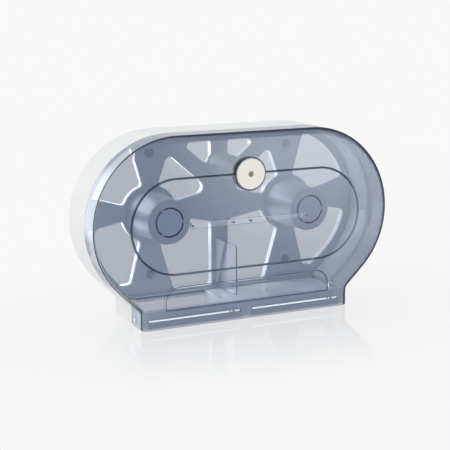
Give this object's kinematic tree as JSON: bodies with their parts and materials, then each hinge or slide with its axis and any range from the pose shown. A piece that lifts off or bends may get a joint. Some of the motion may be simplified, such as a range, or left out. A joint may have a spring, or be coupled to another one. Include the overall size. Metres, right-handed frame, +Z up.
{
  "type": "double roll toilet paper dispenser",
  "caption": "Wall dispenser for two toilet rolls: spoked back, turning hubs, sliding shutter, and a clear smoke cover that hinges at its foot and locks at the top.",
  "frame": {"origin": "under the middle of the whole depth and width, on the plane the foot stands on", "axes": "+X to the right seen from the front, +Y from the cover towards the wall, +Z up"},
  "size_m": [0.4336, 0.1076, 0.2518],
  "materials": {
    "white_plastic": "satin moulded",
    "white_gloss": "gloss moulded",
    "hub_plastic": "satin moulded",
    "smoke_plastic": "clear smoke, polished",
    "divider_plastic": "clear smoke, polished",
    "clear_plastic": "clear, polished",
    "lock_white": "fine matt",
    "lock_metal": "plated",
    "lock_brass": "dull, aged",
    "pin_steel": "drawn",
    "strip_pin": "dark clear",
    "tear_plastic": "satin"
  },
  "bodies": {
    "housing": {"rear_housing": "white_plastic", "chin_frame": "white_plastic", "spindle_left": "white_plastic", "spindle_right": "white_plastic", "roll_divider": "divider_plastic", "spindle_cap_left": "hub_plastic", "spindle_cap_right": "hub_plastic", "hinge_pin_left": "pin_steel", "hinge_pin_right": "pin_steel"},
    "cover": {"front_cover": "smoke_plastic", "lock_body": "lock_white", "lock_nut": "lock_metal", "name_strip": "clear_plastic", "strip_pin_1": "strip_pin", "strip_pin_2": "strip_pin", "strip_pin_3": "strip_pin", "strip_pin_4": "strip_pin", "strip_pin_5": "strip_pin", "tear_bar_1": "tear_plastic", "tear_bar_2": "tear_plastic"},
    "lock": {"lock_plug": "lock_brass", "lock_cam": "lock_metal", "lock_cam_screw": "lock_metal"},
    "shutter": {"shutter": "white_gloss"},
    "hub_left": {"hub_sleeve_left": "hub_plastic"},
    "hub_right": {"hub_sleeve_right": "hub_plastic"}
  },
  "joints": [
    {"name": "cover_hinge", "type": "hinge", "parent": "housing", "child": "cover", "pos_m": [0, -0.0182, 0.009], "axis": [1, 0, 0], "range_deg": [0, 90]},
    {"name": "lock_turn", "type": "hinge", "parent": "cover", "child": "lock", "pos_m": [0, -0.0402, 0.1968], "axis": [0, 1, 0], "range_deg": [0, 90]},
    {"name": "shutter_slide", "type": "slide", "parent": "housing", "child": "shutter", "axis": [-1, 0, 0], "range_m": [0, 0.1178]},
    {"name": "hub_left_spin", "type": "hinge", "parent": "housing", "child": "hub_left", "pos_m": [-0.105, 0, 0.136], "axis": [0, 1, 0], "continuous": true},
    {"name": "hub_right_spin", "type": "hinge", "parent": "housing", "child": "hub_right", "pos_m": [0.105, 0, 0.136], "axis": [0, 1, 0], "continuous": true}
  ]
}
